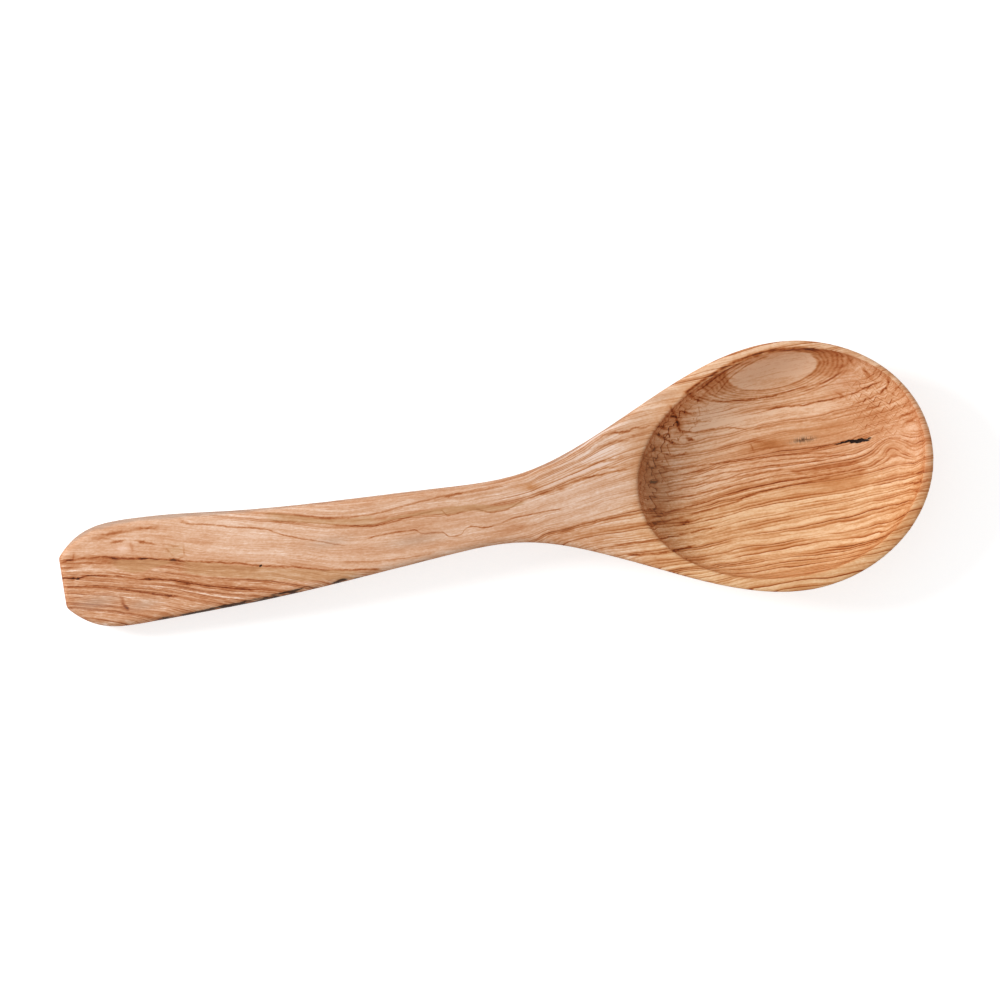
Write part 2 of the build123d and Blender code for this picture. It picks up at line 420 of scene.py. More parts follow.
# Short strokes: (start, end, half width, darkening).
STROKES = (
    ((54.6, 19.2), (55.2, 15.2), 0.35, 2.2),
    ((51.6, 20.0), (55.2, 18.8), 0.35, 1.5),
    ((48.9, 17.4), (51.2, 16.4), 0.40, 2.2),
    ((48.2, 15.4), (50.4, 13.4), 0.40, 2.2),
    ((50.2, 13.4), (53.2, 11.7), 0.35, 2.0),
    ((56.8, 12.6), (59.2, 11.4), 0.35, 1.7),
    ((58.6, 25.4), (61.0, 23.4), 0.60, 1.6),
    ((60.4, 23.8), (63.4, 21.8), 0.40, 1.5),
    ((55.8, 20.8), (59.2, 19.0), 0.35, 1.5),
    ((54.8, 15.4), (58.0, 14.0), 0.30, 1.2),
    ((53.4, 22.0), (54.6, 19.6), 0.40, 1.5),
    ((44.0, 2.0), (46.8, 1.6), 0.45, 2.4),
    ((41.8, -5.9), (46.0, -5.9), 0.40, 1.8),
    ((41.6, -9.6), (46.6, -9.9), 0.50, 2.2),
    ((42.2, -8.0), (47.5, -7.8), 0.35, 1.4),
    ((51.5, -11.1), (54.0, -11.0), 0.40, 1.9),
    ((43.4, 5.6), (48.2, 6.4), 0.35, 1.3),
    ((47.2, 6.2), (51.4, 4.2), 0.35, 1.2),
    ((45.0, 9.8), (48.4, 11.6), 0.35, 1.3),
    ((46.2, 12.2), (47.2, 9.4), 0.30, 1.2),
    ((44.0, 8.6), (45.6, 5.2), 0.40, 1.1),
    ((49.0, 9.8), (51.6, 8.6), 0.30, 1.1),
    ((52.0, 8.0), (57.0, 8.6), 0.25, 0.9),
    ((57.0, 16.8), (66.0, 16.2), 0.25, 0.8),
    ((109.2, 24.2), (110.8, 21.4), 0.40, 1.2),
    ((105.6, 27.6), (106.8, 25.4), 0.40, 1.0),
    ((113.4, 16.6), (115.4, 17.8), 0.35, 1.9),
    ((115.2, 17.6), (115.8, 20.2), 0.30, 1.5),
    ((115.8, 15.2), (119.8, 18.8), 0.25, 0.9),
    ((119.4, 7.0), (121.6, 7.9), 0.35, 1.8),
    ((117.0, 8.6), (122.2, 10.0), 0.28, 1.1),
    ((105.0, 14.2), (113.5, 16.4), 0.25, 1.0),
    ((101.0, 18.6), (104.0, 16.4), 0.25, 0.9),
    ((115.0, -10.4), (123.4, -10.0), 0.32, 1.6),
    ((117.0, -8.0), (123.6, -7.2), 0.28, 1.1),
    ((118.0, -12.6), (123.0, -13.2), 0.28, 1.0),
    ((91.0, 3.6), (99.0, 4.1), 0.22, 1.1),
    ((75.0, 8.6), (79.0, 8.4), 0.30, 0.9),
    ((75.4, 6.2), (83.6, 6.0), 0.30, 0.9),
    ((74.6, 8.2), (75.2, 6.2), 0.30, 0.8),
    ((77.0, 7.8), (82.6, 7.0), 0.80, 0.6),
    ((109.0, 12.9), (111.5, 12.6), 0.22, 1.0),
    ((-109.5, 9.3), (-105.5, 9.4), 0.28, 1.1),
    ((-103.8, 8.6), (-103.6, 6.0), 0.55, 0.55),
    ((-102.0, 8.8), (-99.0, 7.6), 0.28, 1.1),
    ((-99.2, 7.5), (-96.2, 6.8), 0.28, 0.9),
    ((-96.2, 6.8), (-93.5, 6.3), 0.22, 0.4),
    ((-94.2, 5.2), (-92.2, 2.8), 0.22, 0.6),
    ((-93.6, 6.3), (-89.8, 5.2), 0.22, 0.5),
    ((-89.2, 4.8), (-89.4, 2.6), 0.22, 0.6),
    ((-92.4, 2.0), (-89.5, 2.3), 0.25, 0.5),
    ((-93.2, 2.1), (-91.2, 1.4), 0.45, 2.2),
    ((-111.0, 5.5), (-107.0, 4.8), 0.40, 1.0),
    ((-110.6, 4.2), (-107.8, 3.6), 0.70, 0.8),
    ((-103.0, 4.2), (-99.0, 3.0), 0.40, 0.9),
    ((-109.0, -8.0), (-107.4, -10.6), 0.55, 1.3),
    ((-109.2, -6.0), (-108.4, -8.0), 0.50, 0.7),
    ((-92.4, -4.8), (-88.6, -5.9), 0.60, 1.1),
    ((-97.6, -7.7), (-94.6, -8.6), 0.50, 1.1),
    ((-120.6, 8.2), (-121.0, 6.0), 0.35, 0.6),
    ((-122.2, 1.2), (-121.2, 0.9), 0.35, 2.0),
    ((-120.8, 0.7), (-120.0, 0.8), 0.30, 2.0),
    ((-124.6, 6.9), (-120.6, 6.3), 0.30, 0.9),
    ((-111.0, 12.0), (-105.0, 11.8), 0.50, 0.7),
    ((-101.5, 12.0), (-96.5, 11.6), 0.35, 0.8),
    ((-117.0, 10.8), (-108.0, 10.8), 0.35, 0.5),
    ((-88.6, 12.4), (-86.6, 11.0), 0.35, 0.8),
    ((9.0, 6.2), (13.4, 5.6), 0.90, 0.6),
    ((17.0, 3.6), (21.5, 4.4), 0.50, 0.8),
    ((12.0, 3.8), (16.0, 3.6), 0.60, 0.6),
    ((-16.0, 6.6), (-9.0, 7.4), 0.30, 0.8),
    ((14.0, -8.2), (23.0, -7.4), 0.60, 0.7),
    ((22.0, -6.9), (34.0, -6.2), 0.45, 0.9),
    ((30.0, 7.6), (40.0, 8.0), 0.35, 0.7),
    ((26.0, 9.2), (41.0, 10.6), 0.45, 0.9),
    ((32.0, 14.0), (44.0, 15.6), 0.55, 0.8),
    ((35.0, 17.0), (47.0, 17.8), 0.28, 1.5),
    ((22.0, 5.6), (34.0, 6.4), 0.40, 0.8),
)

# Strips of light wood between them, and one painted highlight along the far edge of the neck: (start, end,
# half width, lightening).
LIGHT_STROKES = (
    ((-124.0, 3.9), (-112.0, 2.6), 0.90, 0.55),
    ((-112.0, 2.4), (-106.0, 1.0), 0.60, 0.40),
    ((-101.5, 0.4), (-95.5, -1.4), 0.50, 0.50),
    ((-124.0, -3.2), (-112.0, -5.8), 0.45, 0.35),
    ((-112.0, -5.2), (-98.0, -9.6), 0.40, 0.45),
    ((-104.0, -3.6), (-92.0, -6.9), 0.30, 0.45),
    ((-88.0, -8.2), (-76.0, -12.4), 0.35, 0.50),
    ((-118.0, -12.4), (-111.0, -13.4), 0.35, 0.45),
    ((-102.0, -10.2), (-92.0, -12.6), 0.60, 0.30),
    ((-107.8, 7.1), (-105.0, 7.1), 1.40, 0.42),
    ((60.0, 18.4), (72.0, 16.6), 2.20, 0.25),
    ((60.0, -21.0), (110.0, -20.4), 0.45, 0.30),
    ((56.0, -24.4), (104.0, -24.0), 0.45, 0.30),
    # Painted highlight along the far rounded edge of the neck.
    ((12.0, 10.6), (44.0, 21.0), 0.60, 0.30),
    ((66.0, -11.4), (110.0, -11.6), 0.40, 0.30),
)

# Painted sheen: greyer wood on the far rounded edge of the handle, where it takes the light, beyond this
# edge: (place, side).
FAR_SIDE = (
    (-122, 9.5), (-118, 11.6), (-110, 13.4), (-100, 13.6), (-90, 12.8), (-75, 11.6), (-60, 10.8), (-40, 10.0),
    (0, 8.9), (10, 9.6), (30, 16.0), (45, 23.5),
)

# Bark along the near edge of the handle, partly painted shade where its side turns under, beyond this edge,
# and the height of the handle's top there.
BARK_SIDE = (
    (-112, -13.3), (-104, -13.9), (-95, -13.9), (-80, -13.2), (-60, -12.0), (-40, -10.8), (-20, -9.6),
    (0, -8.6),
)
HANDLE_TOP = ((-125, 10.5), (-100, 12.9), (-80, 14.9), (-60, 16.9), (-40, 18.8), (-20, 20.4), (0, 21.5))

# Bark streak in the bowl, short hairs beside it, and spots on the handle: (middle, size, turn).
BARK_STREAKS = (((105.4, 4.1), (3.6, 0.66)), ((103.2, 4.4), (5.8, 0.36)))
HAIRY_SPOT = ((89.8, 6.8), (3.0, 0.75))
HAIRY_LINE = ((90.6, 6.6), (2.8, 0.22))
SPOTS = (((-120.6, 0.8), (0.7, 0.3), -8.0), ((-68.3, -4.0), (0.7, 0.40), 30.0))


# Light wood on the handle, in the bowl and on its sunny side, and how one measure of darkening dyes it.
LIGHT = (0.800, 0.530, 0.380, 1.0)
PEACH = (0.860, 0.500, 0.290, 1.0)
HONEY = (0.870, 0.500, 0.255, 1.0)
STAIN = (0.600, 0.350, 0.200)

# Olive tone of the wood, darkened further as painted shade on the hollow's left wall.
OLIVE_AND_SHADE = (0.400, 0.235, 0.120, 1.0)
RED = (0.620, 0.240, 0.110, 1.0)
PINK = (0.760, 0.430, 0.290, 1.0)
GREY = (0.480, 0.350, 0.265, 1.0)
TAN = (0.560, 0.330, 0.160, 1.0)
ORANGE = (0.640, 0.270, 0.090, 1.0)
# Painted sheen on the far rounded edge of the handle.
SHEEN_GREY = (0.390, 0.300, 0.250, 1.0)
CHAR = (0.032, 0.013, 0.006, 1.0)
# Near-black of bark, also used as painted shade along the near side of the handle.
BARK_AND_SHADE_BLACK = (0.014, 0.005, 0.002, 1.0)

# Tinted areas: (middle, size, colour, share).
TINTS = (
    # Partly olive tone, partly painted shade on the hollow's left wall.
    ((46.0, 3.0), (6.0, 14.0), OLIVE_AND_SHADE, 0.35),
    ((122.5, -2.0), (3.0, 22.0), RED, 0.20),
    ((84.0, 27.0), (13.0, 5.0), ORANGE, 0.24),
    ((91.0, 9.0), (11.0, 2.6), ORANGE, 0.30),
    ((96.0, -6.8), (11.0, 1.6), ORANGE, 0.35),
    ((79.5, 7.0), (5.0, 1.4), ORANGE, 0.35),
    ((10.0, 6.2), (5.0, 1.2), ORANGE, 0.45),
    ((28.0, 8.0), (16.0, 4.5), ORANGE, 0.22),
    ((30.0, -10.0), (16.0, 4.0), ORANGE, 0.22),
    ((116.0, 0.0), (5.0, 9.0), RED, 0.18),
    ((104.0, 22.0), (6.0, 6.0), RED, 0.25),
    ((-91.6, 4.2), (2.6, 1.8), TAN, 0.40),
    ((-106.4, 7.1), (2.4, 1.6), PINK, 0.35),
    ((-116.0, -6.6), (6.0, 1.8), GREY, 0.45),
    ((-103.0, -9.4), (4.5, 1.6), GREY, 0.40),
    ((-48.0, -0.4), (6.0, 1.6), GREY, 0.35),
    ((-24.0, -3.8), (8.0, 1.6), GREY, 0.40),
)

# Painted shade, as a darker red wash, on the flat rim at the tip, which takes more light than the wall:
# (middle, size).
TIP = (122.0, -2.0)
TIP_SHADE_SIZE = (4.0, 22.0)
TIP_RED_SHADE_SIZE = (7.0, 24.0)


def growth_field_group():
    """Distance from the pith, as the growth lines bend round knots and waves, on a point in mm."""
    group, start, end = new_group(
        "growth_field",
        [("Point", "NodeSocketVector")],
        [("Field", "NodeSocketFloat"), ("Oval", "NodeSocketFloat"), ("Along", "NodeSocketVector")],
    )
    point = start.outputs["Point"]
    x, y, z = node(group, "ShaderNodeSeparateXYZ", {0: point}).outputs
    spread = rail(group, x, SPREAD)
    side = calc(group, "DIVIDE", y, spread)
    side = calc(group, "SUBTRACT", side, rail(group, x, DRIFT))
    side = calc(group, "SUBTRACT", side, PITH_SIDE)
    height = calc(group, "DIVIDE", calc(group, "SUBTRACT", z, PITH_HEIGHT), spread)
    square = calc(group, "MULTIPLY_ADD", side, side, calc(group, "MULTIPLY", height, height))
    field = calc(group, "SQRT", square)

    slow, wave, small = [noise(group, point, name) for name in ("slow_wave", "wave", "small_wave")]
    for bend, amount in ((slow, 1.4), (wave, 0.8), (small, 0.15)):
        field = calc(group, "MULTIPLY_ADD", bend, amount, field)
    bow = product(group, ramp(group, x, 50.0, 90.0), patch(group, (x, y), (80.0, -12.0), (400.0, 9.0)))
    field = calc(group, "MULTIPLY_ADD", bow, 1.2, field)

    along = node(group, "ShaderNodeCombineXYZ", {0: x, 1: field, 2: z}).outputs[0]

    # Lobes on the handle, and a swirl near the tip.
    lobes = product(group, noise(group, point, "lobes"), patch(group, (x, y), (-22.0, -2.0), (24.0, 5.0)))
    field = calc(group, "MULTIPLY_ADD", lobes, 3.0, field)
    field = calc(group, "MULTIPLY_ADD", patch(group, (x, y), (114.0, 1.0), (4.5, 4.0)), 2.1, field)

    # Distance from the middle of the nested oval, 1 at its edge.
    away = node(group, "ShaderNodeVectorMath", {0: point, 1: OVAL_MIDDLE}, operation="SUBTRACT").outputs[0]
    shares = (1 / OVAL_SIZE[0], 1 / OVAL_SIZE[1], 0.0)
    share = node(group, "ShaderNodeVectorMath", {0: away, 1: shares}, operation="MULTIPLY").outputs[0]
    oval = node(group, "ShaderNodeVectorMath", {0: share}, operation="LENGTH").outputs["Value"]
    oval = calc(group, "MULTIPLY_ADD", wave, 0.12, oval)
    oval = calc(group, "MULTIPLY_ADD", small, 0.04, oval)

    group.links.new(field, end.inputs["Field"])
    group.links.new(oval, end.inputs["Oval"])
    group.links.new(along, end.inputs["Along"])
    return group


def growth_lines_group():
    """Dark late wood at the end of each ring, as a broad band and a thin line, each ring its own strength."""
    group, start, end = new_group(
        "growth_lines",
        [("Field", "NodeSocketFloat"), ("Spacing", "NodeSocketFloat"), ("Shift", "NodeSocketFloat")],
        [("Band", "NodeSocketFloat"), ("Line", "NodeSocketFloat")],
    )
    phase = calc(group, "DIVIDE", start.outputs["Field"], start.outputs["Spacing"])
    phase = calc(group, "ADD", phase, start.outputs["Shift"])
    ring = calc(group, "FLOOR", phase)
    share = calc(group, "FRACT", phase)
    draw = node(group, "ShaderNodeTexWhiteNoise", {"W": ring}, noise_dimensions="1D").outputs["Value"]
    strength = ramp(group, draw, 0.0, 1.0, 0.35, 1.0)
    late = 0.93
    fall = ramp(group, share, late, 1.0, 1.0, 0.0)
    for label, begin in (("Band", 0.25), ("Line", 0.76)):
        rise = product(group, ramp(group, share, begin, late), fall, strength)
        group.links.new(rise, end.inputs[label])
    return group


def dyed(tree, light, density):
    """Light wood dyed darker, as far as the density says."""
    tint = [calc(tree, "POWER", channel, density) for channel in STAIN]
    tint = node(tree, "ShaderNodeCombineColor", {0: tint[0], 1: tint[1], 2: tint[2]}).outputs[0]
    return blend_colour(tree, 1.0, light, tint, "MULTIPLY")


# ---------------------------------------------------------------- olive wood
# The material has many nodes, and the renderer keeps only 255 values of one material at a time.
# So each part below is summed by itself and its masks are made just before they are used.
def place_on_wood(tree):
    """The point in mm, its place in the growth of the wood, and how far the surface faces up."""
    here = node(tree, "ShaderNodeTexCoord").outputs["Object"]
    point = node(tree, "ShaderNodeVectorMath", {0: here, "Scale": 1 / MM}, operation="SCALE").outputs[0]
    x, y, z = node(tree, "ShaderNodeSeparateXYZ", {0: point}).outputs
    growth = use(tree, growth_field_group(), {"Point": point}).outputs
    normal = node(tree, "ShaderNodeNewGeometry").outputs["Normal"]
    upright = node(tree, "ShaderNodeSeparateXYZ", {0: normal}).outputs[2]
    return SimpleNamespace(
        point=point, x=x, y=y, z=z, xy=(x, y), upright=upright,
        field=growth["Field"], along=growth["Along"], oval=growth["Oval"],
    )


def parts_of_spoon(tree, at):
    """Masks of the hollow, the rim, the oval, the bowl, and the zones above and below the pale band."""
    inside = ramp(tree, at.z, 21.2, 21.8, 1.0, 0.0)
    part = SimpleNamespace(
        inside=inside,
        hollow=product(tree, inside, ramp(tree, at.upright, -0.05, 0.10)),
        in_oval=product(tree, ramp(tree, at.oval, 0.92, 1.0, 1.0, 0.0), inside),
        on_rim=product(tree, ramp(tree, at.z, 21.5, 21.9), ramp(tree, at.x, 40.0, 80.0)),
        round_oval=product(tree, ramp(tree, at.oval, 1.25, 1.7, 1.0, 0.0), inside),
        upper=ramp(tree, calc(tree, "SUBTRACT", at.field, rail(tree, at.x, PALE_FROM)), -1.0, 1.2, 1.0, 0.0),
        lower=ramp(tree, calc(tree, "SUBTRACT", at.field, rail(tree, at.x, PALE_TO)), -0.8, 0.6),
        bowl=ramp(tree, at.x, 15.0, 60.0),
    )
    part.handle = calc(tree, "SUBTRACT", 1.0, part.bowl)
    return part


def line_strength(tree, at, part):
    """How strong the growth lines are: full below the pale band, less above it, little inside the oval."""
    waning = noise(tree, at.along, "waning")
    pale = calc(tree, "SUBTRACT", 1.0, calc(tree, "MAXIMUM", part.upper, part.lower))
    strength = calc(tree, "MULTIPLY_ADD", pale, ramp(tree, at.x, 20.0, 60.0, -0.85, -0.35), 1.0)
    calm = product(tree, part.upper, ramp(tree, at.x, -10.0, 15.0, 1.0, 0.0))
    strength = calc(tree, "MULTIPLY_ADD", calm, -0.45, strength)
    strength = calc(tree, "MULTIPLY_ADD", patch(tree, at.xy, (28.0, 11.0), (16.0, 6.0)), 0.6, strength)
    low_in_bowl = product(tree, ramp(tree, at.field, 52.0, 56.0), part.bowl)
    strength = calc(tree, "MULTIPLY_ADD", low_in_bowl, 0.15, strength)
    spared = calc(tree, "MULTIPLY_ADD", part.round_oval, -0.9, 1.0)
    return product(tree, strength, spared, ramp(tree, waning, -0.3, 0.2, 0.30, 1.25))


def ground_density(tree, at, part, lines, fibre):
    """Darkening by the tone of each zone, by the growth lines, and by fibres that follow them."""
    pace = noise(tree, node(tree, "ShaderNodeCombineXYZ", {1: at.field}).outputs[0], "ring_pace")
    paced = calc(tree, "MULTIPLY_ADD", pace, 1.3, at.field)
    broad = use(tree, lines, {"Field": paced, "Spacing": RING, "Shift": 0.3}).outputs
    fine = use(tree, lines, {"Field": paced, "Spacing": RING * 0.5, "Shift": 0.15}).outputs
    strength = line_strength(tree, at, part)
    below = product(tree, part.lower, part.handle)
    fleck = product(tree, noise(tree, at.along, "fleck"), calc(tree, "MULTIPLY_ADD", below, 0.8, 0.3))
    return total(
        tree,
        (
            (below, 0.20),
            (product(tree, part.upper, part.handle), -0.12),
            (part.handle, 0.20),
            (part.bowl, -0.16),
            # Painted shade: the flat rim towards the tip is darkened, as it takes more light than the wall.
            (product(tree, part.on_rim, ramp(tree, at.x, 92.0, 114.0)), 0.14),
            (product(tree, patch(tree, at.xy, TIP, TIP_SHADE_SIZE), part.on_rim), 0.10),
            (part.in_oval, -0.04),
            (noise(tree, at.along, "tone"), 0.50),
            (noise(tree, at.point, "mottle"), 0.28),
            (fibre, 0.42),
            (noise(tree, at.along, "hair"), 0.30),
            (noise(tree, at.point, "speck"), 0.26),
            (fleck, 0.75),
            (product(tree, broad["Band"], strength), 0.45),
            (product(tree, broad["Line"], strength), 0.80),
            (product(tree, fine["Band"], strength), 0.45),
            (product(tree, fine["Line"], strength), 1.15),
        ),
    )


def unsteady_places(tree, at):
    """The place across and along the spoon, made a little unsteady for what is drawn one by one."""
    shiver = noise(tree, at.point, "shiver")
    sideways = noise(tree, at.point, "sideways")
    at.shiver = shiver
    at.across = calc(tree, "MULTIPLY_ADD", shiver, 0.45, at.y)
    at.onward = calc(tree, "MULTIPLY_ADD", shiver, 0.02, at.x)
    at.shaken = tuple(
        calc(tree, "MULTIPLY_ADD", shake, 0.9, place) for shake, place in ((sideways, at.x), (shiver, at.y))
    )
    at.broken = ramp(tree, noise(tree, at.point, "breaks"), -0.35, 0.20, 0.50, 1.20)


def drawn_density(tree, at):
    """Darkening by soft areas, single lines and strokes."""
    areas = total(tree, ((patch(tree, at.xy, *area), amount) for *area, amount in AREAS))
    drawn = total(
        tree,
        (
            (drawn_line(tree, at.onward, at.across, knots, width * LINE_FINENESS), amount)
            for width, amount, knots in DRAWN_LINES
        ),
    )
    dark = total(tree, ((stroke(tree, at.shaken, *mark), amount) for *mark, amount in STROKES))
    pale = total(tree, ((stroke(tree, at.shaken, *mark), amount) for *mark, amount in LIGHT_STROKES))
    figure = calc(tree, "MULTIPLY_ADD", calc(tree, "ADD", drawn, dark), at.broken, areas)
    return calc(tree, "SUBTRACT", figure, pale)


def hollow_density(tree, at, part, lines):
    """Darkening in the hollow: steps and stairs on its walls, and thin lines round the oval."""
    ripple = noise(tree, at.point, "ripple")
    teeth = calc(tree, "MULTIPLY_ADD", ripple, 5.0, calc(tree, "ADD", at.x, at.y))
    teeth = calc(tree, "PINGPONG", teeth, 1.7)
    contour = calc(tree, "MULTIPLY_ADD", ripple, 2.8, calc(tree, "MULTIPLY_ADD", teeth, 0.50, at.z))
    steps = use(tree, lines, {"Field": contour, "Spacing": STEPS_SPACING, "Shift": 0.2}).outputs
    stair = calc(tree, "MULTIPLY_ADD", ripple, 1.2, calc(tree, "MULTIPLY_ADD", at.y, 0.4, at.x))
    stair = calc(tree, "PINGPONG", stair, 1.6)
    stair = calc(tree, "MULTIPLY_ADD", stair, 1.1, calc(tree, "MULTIPLY_ADD", at.x, 0.42, at.y))
    stair = calc(tree, "MULTIPLY_ADD", ripple, 0.9, stair)
    stairs = use(tree, lines, {"Field": stair, "Spacing": STAIRS_SPACING, "Shift": 0.6}).outputs

    density = 0.0
    for made, table in ((steps, STEPS), (stairs, STAIRS)):
        for middle, size, turn, band, line in table:
            place = product(tree, patch(tree, at.xy, middle, size, turn), part.hollow, at.broken)
            density = calc(tree, "MULTIPLY_ADD", product(tree, made["Band"], place), band, density)
            density = calc(tree, "MULTIPLY_ADD", product(tree, made["Line"], place), line, density)
    for place, width, amount in OVAL_LINES:
        mark = thin_line(tree, calc(tree, "SUBTRACT", at.oval, place), width)
        mark = product(tree, mark, part.hollow, at.broken)
        density = calc(tree, "MULTIPLY_ADD", mark, amount, density)
    ring = product(tree, ramp(tree, at.oval, 0.95, 1.1), ramp(tree, at.oval, 1.4, 1.7, 1.0, 0.0))
    ring = product(tree, ring, part.inside, ramp(tree, at.y, 22.0, 27.0))
    return calc(tree, "MULTIPLY_ADD", ring, 0.55, density)


def far_edge_painted_sheen_mask(tree, at, fibre):
    """Painted sheen: greyer wood on the far rounded edge of the handle, where it takes the light."""
    beyond = calc(tree, "SUBTRACT", at.y, rail(tree, at.x, FAR_SIDE))
    beyond = calc(tree, "MULTIPLY_ADD", at.shiver, 0.5, beyond)
    beyond = calc(tree, "MULTIPLY_ADD", fibre, 0.8, beyond)
    mask = product(tree, ramp(tree, beyond, 0.0, 1.3), ramp(tree, at.x, -75.0, -35.0, 0.55, 0.30))
    return product(tree, mask, ramp(tree, at.x, 45.0, 60.0, 1.0, 0.0))


def streak_mask(tree, at, part):
    """The bark streak in the bowl."""
    rough_edge = noise(tree, at.point, "bark_edge")
    streak = calc(tree, "MAXIMUM", *(patch(tree, at.shaken, *oval) for oval in BARK_STREAKS))
    streak = calc(tree, "MULTIPLY_ADD", rough_edge, calc(tree, "MULTIPLY", streak, 1.2), streak)
    return product(tree, ramp(tree, streak, 0.34, 0.58), part.hollow)


def hairy_mask(tree, at, part):
    """Short dark hairs, side by side, near the bark streak."""
    bristle = noise(tree, at.point, "bristle")
    hairs = product(tree, patch(tree, at.xy, *HAIRY_SPOT), ramp(tree, bristle, -0.25, 0.10))
    hairs = calc(tree, "MAXIMUM", hairs, calc(tree, "MULTIPLY", patch(tree, at.shaken, *HAIRY_LINE), 0.9))
    return product(tree, hairs, part.hollow, 0.85)


def bark_and_shade_side_mask(tree, at):
    """The bark left along the near edge of the handle, in patches, above the underside, partly painted shade
    where the side turns under.
    """
    beyond = calc(tree, "SUBTRACT", rail(tree, at.x, BARK_SIDE), at.y)
    beyond = calc(tree, "MULTIPLY_ADD", at.shiver, 0.5, beyond)
    edge = product(tree, ramp(tree, beyond, -0.2, 0.2), ramp(tree, at.x, -20.0, -4.0, 1.0, 0.0))
    left = calc(tree, "MULTIPLY_ADD", noise(tree, at.point, "bark_gaps"), 1.1, -0.15)
    left = calc(tree, "MULTIPLY_ADD", ramp(tree, at.x, -104.0, -94.0), 0.45, left)
    left = calc(tree, "SUBTRACT", left, ramp(tree, at.x, -66.0, -36.0, 0.0, 0.45))
    mask = product(tree, edge, ramp(tree, left, 0.0, 0.30, 0.0, 0.9), ramp(tree, at.x, -108.0, -104.0))
    depth = calc(tree, "SUBTRACT", rail(tree, at.x, HANDLE_TOP), at.z)
    return product(tree, mask, ramp(tree, depth, 2.4, 4.6, 1.0, 0.0))


def olive_wood():
    material = bpy.data.materials.new("olive_wood")
    material.use_nodes = True
    tree = material.node_tree
    tree.nodes.clear()
    at = place_on_wood(tree)
    part = parts_of_spoon(tree, at)
    lines = growth_lines_group()
    fibre = noise(tree, at.along, "fibre")
    density = ground_density(tree, at, part, lines, fibre)
    unsteady_places(tree, at)
    figure = drawn_density(tree, at)
    walls = hollow_density(tree, at, part, lines)
    density = calc(tree, "ADD", density, calc(tree, "ADD", figure, walls))

    # Painted shade: steep sides are darkened, which draws dark lines along the edges.
    painted_edge_shade = product(tree, ramp(tree, at.upright, 0.15, 0.70, 1.0, 0.0), ramp(tree, at.upright, -0.4, 0.1))
    density = calc(tree, "MULTIPLY_ADD", painted_edge_shade, 0.40, density)

    light = blend_colour(tree, ramp(tree, at.x, 30.0, 60.0), LIGHT, PEACH)
    sunny = product(tree, ramp(tree, at.field, 50.0, 58.0), part.bowl)
    light = blend_colour(tree, sunny, light, HONEY)
    colour = dyed(tree, light, calc(tree, "MAXIMUM", density, -0.30))
    colour = blend_colour(tree, ramp(tree, density, 1.4, 3.6, 0.0, 0.90), colour, CHAR)
    for middle, size, shade, share in TINTS:
        colour = blend_colour(tree, product(tree, patch(tree, at.xy, middle, size), share), colour, shade)
    # Painted shade: a red wash darkens the flat rim at the tip.
    tip_rim_painted_shade = product(tree, patch(tree, at.xy, TIP, TIP_RED_SHADE_SIZE), part.on_rim, 0.30)
    colour = blend_colour(tree, tip_rim_painted_shade, colour, RED)
    for upper_edge, lower_edge in BANDS:
        tan = product(tree, banded(tree, at.onward, at.across, upper_edge, lower_edge), BAND_SHARE)
        colour = blend_colour(tree, tan, colour, TAN)
    # Painted sheen: the far rounded edge of the handle greyed where it takes the light.
    colour = blend_colour(tree, far_edge_painted_sheen_mask(tree, at, fibre), colour, SHEEN_GREY)
    colour = blend_colour(tree, streak_mask(tree, at, part), colour, BARK_AND_SHADE_BLACK)
    colour = blend_colour(tree, hairy_mask(tree, at, part), colour, CHAR)
    spot = calc(tree, "MAXIMUM", *(patch(tree, at.shaken, *oval) for oval in SPOTS))
    colour = blend_colour(tree, ramp(tree, spot, 0.3, 0.7, 0.0, 0.95), colour, BARK_AND_SHADE_BLACK)
    # Bark and painted shade along the near side of the handle, where it turns under.
    colour = blend_colour(tree, bark_and_shade_side_mask(tree, at), colour, BARK_AND_SHADE_BLACK)

    pores = calc(tree, "MULTIPLY", noise(tree, at.point, "pores"), -0.6)
    bump = node(tree, "ShaderNodeBump", {"Strength": 0.35, "Distance": PORE_DEPTH, "Height": pores})
    shader = node(
        tree,
        "ShaderNodeBsdfPrincipled",
        {
            "Base Color": colour,
            "Roughness": ramp(tree, fibre, -0.6, 0.6, 0.44, 0.58),
            "Normal": bump.outputs["Normal"],
            "Specular IOR Level": 0.1,
        },
    )
    node(tree, "ShaderNodeOutputMaterial", {"Surface": shader.outputs["BSDF"]})
    return material


# ---------------------------------------------------------------- spoon
# Small hollows in the upper surface: (middle, size, depth) in mm.
RECESSES = (
    ((105.4, 4.2), (3.8, 0.8), 0.45),
    ((102.0, 4.4), (4.5, 0.5), 0.25),
    ((-120.8, 0.8), (1.4, 0.6), 0.35),
    ((-68.3, -4.0), (0.9, 0.7), 0.35),
    ((45.2, 1.7), (1.4, 0.6), 0.25),
)


def sink(piece, middle, size, depth):
    """Lower the upper surface round one place, as a soft oval dip."""
    for vertex in piece.data.vertices:
        across = (vertex.co.x / MM - middle[0]) / size[0]
        aside = (vertex.co.y / MM - middle[1]) / size[1]
        reach = across * across + aside * aside
        if reach < 4 and vertex.normal.z > 0.3:
            vertex.co.z -= depth * MM * math.exp(-reach)


